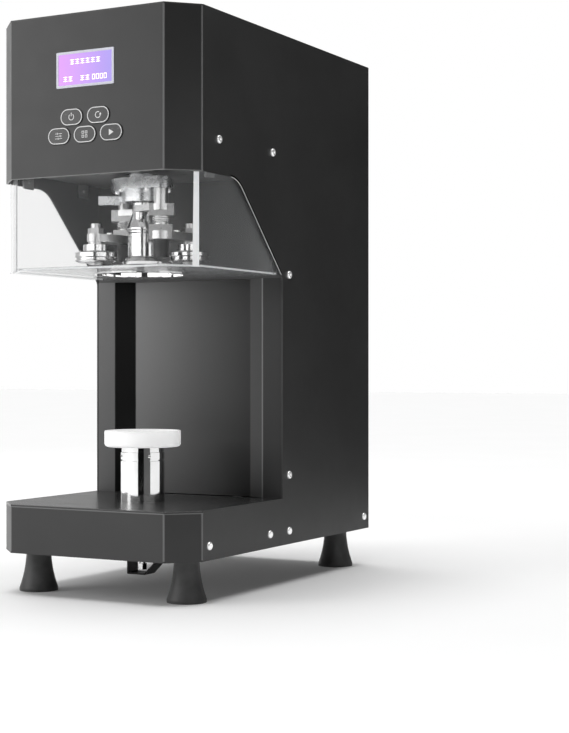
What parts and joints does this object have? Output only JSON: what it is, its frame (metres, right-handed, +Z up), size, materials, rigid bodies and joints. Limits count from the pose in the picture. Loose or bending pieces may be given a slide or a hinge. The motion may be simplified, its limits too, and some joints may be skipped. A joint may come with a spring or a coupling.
{
  "type": "can sealing machine",
  "caption": "Desktop can seamer: sheet-metal casing with a clear head guard, spinning turret with two seaming rolls round a chuck, screw lift with tray, keypad and display",
  "frame": {"origin": "on the floor under the middle of the casing", "axes": "+Z up, the display and keypad face -Y, +X is to the right of a person facing the display"},
  "size_m": [0.2952, 0.4956, 0.71],
  "materials": {
    "alloy": "machined",
    "bare_steel": "brushed",
    "black_oxide": "matte",
    "black_plastic": "matte",
    "board_green": "lacquered",
    "casing": "satin",
    "casing_inner": "satin",
    "cast_arm": "blasted",
    "clear_guard": "clear",
    "display_face": "lit",
    "frosted_tray": "frosted",
    "keypad": "glossy",
    "mirror_chrome": "polished",
    "motor_black": "semi-gloss",
    "rubber_black": "matte",
    "turned_steel": "turned",
    "white_frame": "glossy",
    "zinc": "zinc plated"
  },
  "bodies": {
    "casing": {"base_bottom_plate": "casing", "base_front_cover": "casing", "base_top_plate": "casing", "bearing_outer_rings": "turned_steel", "casing_screws": "bare_steel", "chamber_back_wall": "casing_inner", "chuck_spindle": "turned_steel", "column_panel": "casing", "cone_actuator": "alloy", "control_board": "board_green", "display_bezel": "white_frame", "display_screen": "display_face", "drive_belt": "rubber_black", "drive_motor": "motor_black", "frame_bolts": "zinc", "frame_rails": "bare_steel", "front_board": "board_green", "guard_floor": "clear_guard", "guard_shell": "clear_guard", "guide_ring": "mirror_chrome", "head_frame_plate": "bare_steel", "head_front_cover": "casing", "lift_guide": "black_oxide", "lift_motor": "motor_black", "power_inlet": "black_plastic", "power_supply": "alloy", "rear_cover": "casing", "rubber_feet": "rubber_black", "screw_bracket": "black_oxide", "seaming_chuck": "turned_steel", "side_panel_left": "casing", "side_panel_right": "casing", "spindle_bridge": "bare_steel", "spindle_housing": "alloy", "top_cover": "casing"},
    "turret": {"turret_spindle": "alloy", "bearing_inner_rings": "turned_steel", "turret_pulley": "alloy", "pivot_pins": "black_oxide"},
    "motor_rotor": {"motor_pulley": "alloy"},
    "arm_first": {"roll_arm_first": "cast_arm"},
    "arm_second": {"roll_arm_second": "cast_arm"},
    "roll_first": {"seaming_roll_first": "turned_steel"},
    "roll_second": {"seaming_roll_second": "turned_steel"},
    "follower_first": {"cam_follower_first": "turned_steel"},
    "follower_second": {"cam_follower_second": "turned_steel"},
    "cone": {"cam_cone": "turned_steel", "shift_yoke": "zinc"},
    "screw": {"lead_screw": "turned_steel"},
    "pinion": {"motor_pinion": "turned_steel"},
    "lift": {"lift_tube": "mirror_chrome"},
    "collar": {"lock_collar": "mirror_chrome"},
    "stem": {"tray_stem": "mirror_chrome"},
    "tray": {"tray_disc": "frosted_tray"},
    "power_button": {"button_power": "keypad"},
    "reset_button": {"button_reset": "keypad"},
    "set_button": {"button_set": "keypad"},
    "mode_button": {"button_mode": "keypad"},
    "start_button": {"button_start": "keypad"},
    "rocker": {"power_rocker": "black_plastic"}
  },
  "joints": [
    {"name": "turret_spin", "type": "hinge", "parent": "casing", "child": "turret", "pos_m": [0, -0.1195, 0.5], "axis": [0, 0, 1], "continuous": true},
    {"name": "motor_spin", "type": "hinge", "parent": "casing", "child": "motor_rotor", "pos_m": [0, 0.095, 0.5], "axis": [0, 0, 1], "continuous": true},
    {"name": "cone_shift", "type": "slide", "parent": "casing", "child": "cone", "axis": [0, 0, 1], "range_m": [0, 0.01]},
    {"name": "arm_first_swing", "type": "hinge", "parent": "turret", "child": "arm_first", "pos_m": [0.04334, -0.14402, 0.45], "axis": [0, 0, 1], "range_deg": [0, 7.81]},
    {"name": "roll_first_spin", "type": "hinge", "parent": "arm_first", "child": "roll_first", "pos_m": [0.05298, -0.09133, 0.43], "axis": [0, 0, 1], "continuous": true},
    {"name": "follower_first_spin", "type": "hinge", "parent": "arm_first", "child": "follower_first", "pos_m": [0.00914, -0.14082, 0.472], "axis": [0, 0, 1], "continuous": true},
    {"name": "arm_second_swing", "type": "hinge", "parent": "turret", "child": "arm_second", "pos_m": [-0.04334, -0.09498, 0.45], "axis": [0, 0, 1], "range_deg": [0, 7.81]},
    {"name": "roll_second_spin", "type": "hinge", "parent": "arm_second", "child": "roll_second", "pos_m": [-0.05298, -0.14767, 0.43], "axis": [0, 0, 1], "continuous": true},
    {"name": "follower_second_spin", "type": "hinge", "parent": "arm_second", "child": "follower_second", "pos_m": [-0.00914, -0.09818, 0.472], "axis": [0, 0, 1], "continuous": true},
    {"name": "screw_spin", "type": "hinge", "parent": "casing", "child": "screw", "pos_m": [0, -0.1195, 0.06], "axis": [0, 0, 1], "range_deg": [0, 3150]},
    {"name": "pinion_spin", "type": "hinge", "parent": "casing", "child": "pinion", "pos_m": [0, -0.0675, 0.06], "axis": [0, 0, 1], "range_deg": [-7088, 0]},
    {"name": "lift_slide", "type": "slide", "parent": "casing", "child": "lift", "axis": [0, 0, 1], "range_m": [0, 0.0351]},
    {"name": "collar_turn", "type": "hinge", "parent": "lift", "child": "collar", "pos_m": [0, -0.1195, 0.16], "axis": [0, 0, 1], "continuous": true},
    {"name": "stem_slide", "type": "slide", "parent": "lift", "child": "stem", "axis": [0, 0, 1], "range_m": [0, 0.008]},
    {"name": "tray_turn", "type": "hinge", "parent": "stem", "child": "tray", "pos_m": [0, -0.1195, 0.19], "axis": [0, 0, 1], "continuous": true},
    {"name": "power_press", "type": "slide", "parent": "casing", "child": "power_button", "axis": [0, 1, 0], "range_m": [0, 0.0008], "stiffness_N_per_m": 900, "springref_m": -0.0002},
    {"name": "reset_press", "type": "slide", "parent": "casing", "child": "reset_button", "axis": [0, 1, 0], "range_m": [0, 0.0008], "stiffness_N_per_m": 900, "springref_m": -0.0002},
    {"name": "set_press", "type": "slide", "parent": "casing", "child": "set_button", "axis": [0, 1, 0], "range_m": [0, 0.0008], "stiffness_N_per_m": 900, "springref_m": -0.0002},
    {"name": "mode_press", "type": "slide", "parent": "casing", "child": "mode_button", "axis": [0, 1, 0], "range_m": [0, 0.0008], "stiffness_N_per_m": 900, "springref_m": -0.0002},
    {"name": "start_press", "type": "slide", "parent": "casing", "child": "start_button", "axis": [0, 1, 0], "range_m": [0, 0.0008], "stiffness_N_per_m": 900, "springref_m": -0.0002},
    {"name": "rocker_flip", "type": "hinge", "parent": "casing", "child": "rocker", "pos_m": [0.072, 0.244, 0.189], "axis": [1, 0, 0], "range_deg": [-16, 0]}
  ],
  "couplings": [
    {"joint": "motor_spin", "follows": "turret_spin", "ratio": 3},
    {"joint": "arm_first_swing", "follows": "cone_shift", "rad_per_m": 13.6},
    {"joint": "arm_second_swing", "follows": "cone_shift", "rad_per_m": 13.6},
    {"joint": "pinion_spin", "follows": "screw_spin", "ratio": -2.25},
    {"joint": "lift_slide", "follows": "screw_spin", "m_per_rad": 0.00063662}
  ]
}
